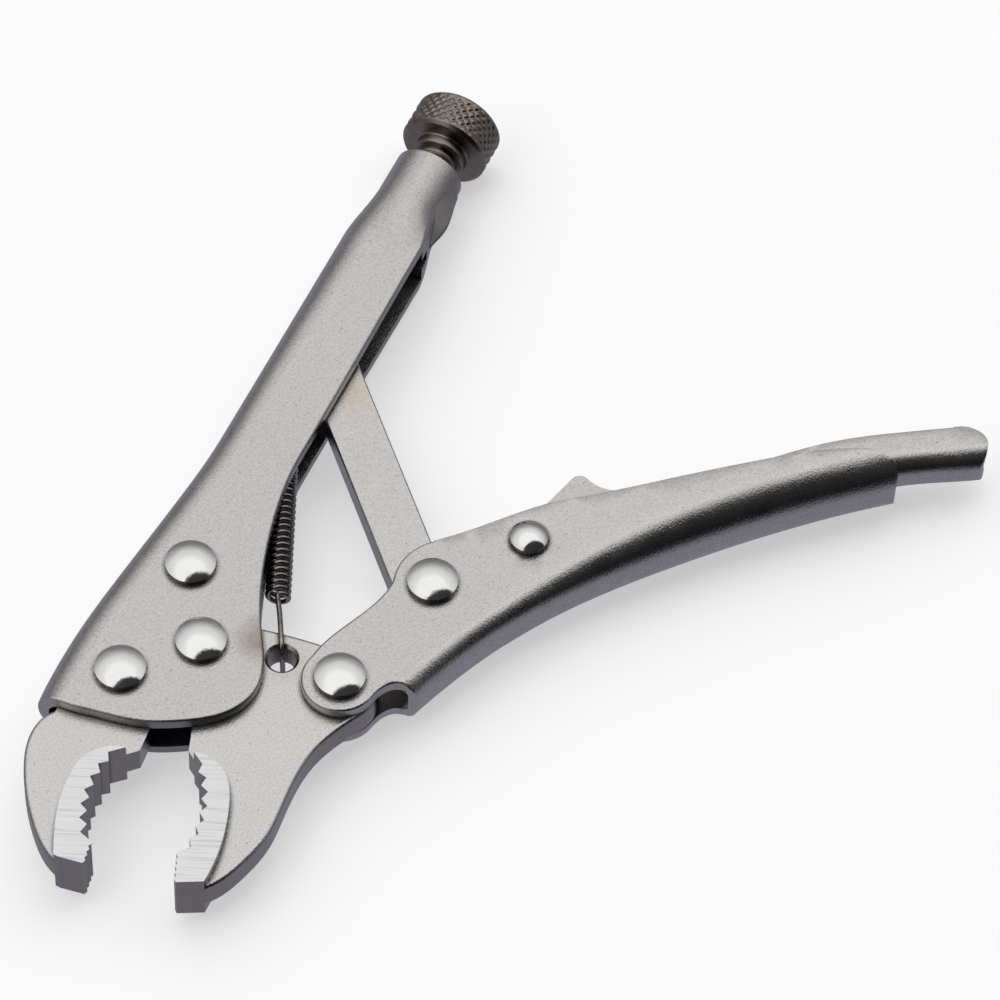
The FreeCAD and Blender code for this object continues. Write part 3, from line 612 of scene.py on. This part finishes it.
# ---- return spring --------------------------------------------------------
# Music wire 1.2 mm thick, close-wound and left dark from the oil bath. One
# hook drops into the movable jaw's hole, the other into the handle's tongue.
wire_radius = 0.6
coil_middle = 2.4
coil_turns = 23
coil_start = Vector((21.0, -8.6, 0.0))
coil_end = Vector((57.5, 7.0, 0.0))
coil_axis = (coil_end - coil_start).normalized()
coil_up = Vector((0.0, 0.0, 1.0))
coil_side = coil_axis.cross(coil_up)
coil_length = (coil_end - coil_start).length
low_hook = [
    (7.0, -16.6, -4.4), (7.2, -16.4, 0.5), (7.6, -16.1, 3.4), (9.2, -15.2, 4.35), (12.0, -13.7, 4.35),
    (16.2, -11.4, 3.5)]
high_hook = [(60.0, 8.4, 1.4), (62.4, 9.3, 0.1), (65.0, 10.3, 0.0), (67.6, 11.0, 0.0), (68.6, 12.6, 0.0),
             (68.0, 14.2, 0.0)]
around = 20
hook_steps = 8
wire_sides = 10
helix = []
for index in range(coil_turns * around + 1):
    share = index / (coil_turns * around)
    angle = 2 * math.pi * coil_turns * share
    helix.append(
        coil_start + coil_axis * (wire_radius + (coil_length - 2 * wire_radius) * share)
        + (coil_up * math.cos(angle) + coil_side * math.sin(angle)) * coil_middle)


def rounded(points, steps):
    """Points on a smooth line through the given ones."""
    points = [Vector(p) for p in points]
    line = []
    for i in range(1, len(points) - 2):
        p0, p1, p2, p3 = points[i - 1:i + 3]
        for s in range(steps):
            t = s / steps
            line.append(0.5 * (
                2 * p1 + (p2 - p0) * t + (2 * p0 - 5 * p1 + 4 * p2 - p3) * t * t
                + (3 * p1 - p0 - 3 * p2 + p3) * t ** 3))
    return line


low_ends = [Vector(low_hook[0]) * 2 - Vector(low_hook[1])] + low_hook + [helix[0], helix[2]]
high_ends = [helix[-3], helix[-1]] + high_hook + [Vector(high_hook[-1]) * 2 - Vector(high_hook[-2])]
path = rounded(low_ends, hook_steps) + helix + rounded(high_ends, hook_steps)[1:]


def drawn_wire(name, path, radius, sides, material):
    """Round wire along a path, its section carried along without twist."""
    verts = []
    across = Vector((0.0, 0.0, 1.0))
    for i, point in enumerate(path):
        ahead = (path[min(i + 1, len(path) - 1)] - path[max(i - 1, 0)]).normalized()
        across = (across - ahead * across.dot(ahead)).normalized()
        other = ahead.cross(across)
        for side in range(sides):
            turn = 2 * math.pi * side / sides
            verts.append(place(*(point + (across * math.cos(turn) + other * math.sin(turn)) * radius)))
    faces = []
    for i in range(len(path) - 1):
        for side in range(sides):
            a = i * sides + side
            b = i * sides + (side + 1) % sides
            faces.append((a, b, b + sides, a + sides))
    faces.append(tuple(range(sides))[::-1])
    faces.append(tuple((len(path) - 1) * sides + s for s in range(sides)))
    return link_mesh(name, verts, faces, material)


# Oil-blacked wire: dark between the turns, with a bright line on each crown.
spring_steel = bpy.data.materials.new("oil_blacked_spring_wire")
spring_steel.use_nodes = True
spring_tree = spring_steel.node_tree
spring_shader = spring_tree.nodes["Principled BSDF"]
spring_shader.inputs["Metallic"].default_value = 1.0
spring_where = add_node(spring_tree, "ShaderNodeTexCoord").outputs["Object"]
spring_fine = add_node(
    spring_tree, "ShaderNodeTexNoise", Vector=spring_where, Scale=1 / (0.8 * MM), Detail=3.0).outputs["Fac"]
spring_tone = add_node(
    spring_tree, "ShaderNodeMix", {"data_type": "RGBA"}, Factor=spring_fine,
    A=to_linear("#4A4543"), B=to_linear("#B9B4B0")).outputs["Result"]
spring_tree.links.new(spring_tone, spring_shader.inputs["Base Color"])
spring_shader.inputs["Roughness"].default_value = 0.16
spring = drawn_wire("wound_spring", path, wire_radius, wire_sides, spring_steel)
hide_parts("return_spring")
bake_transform(spring)
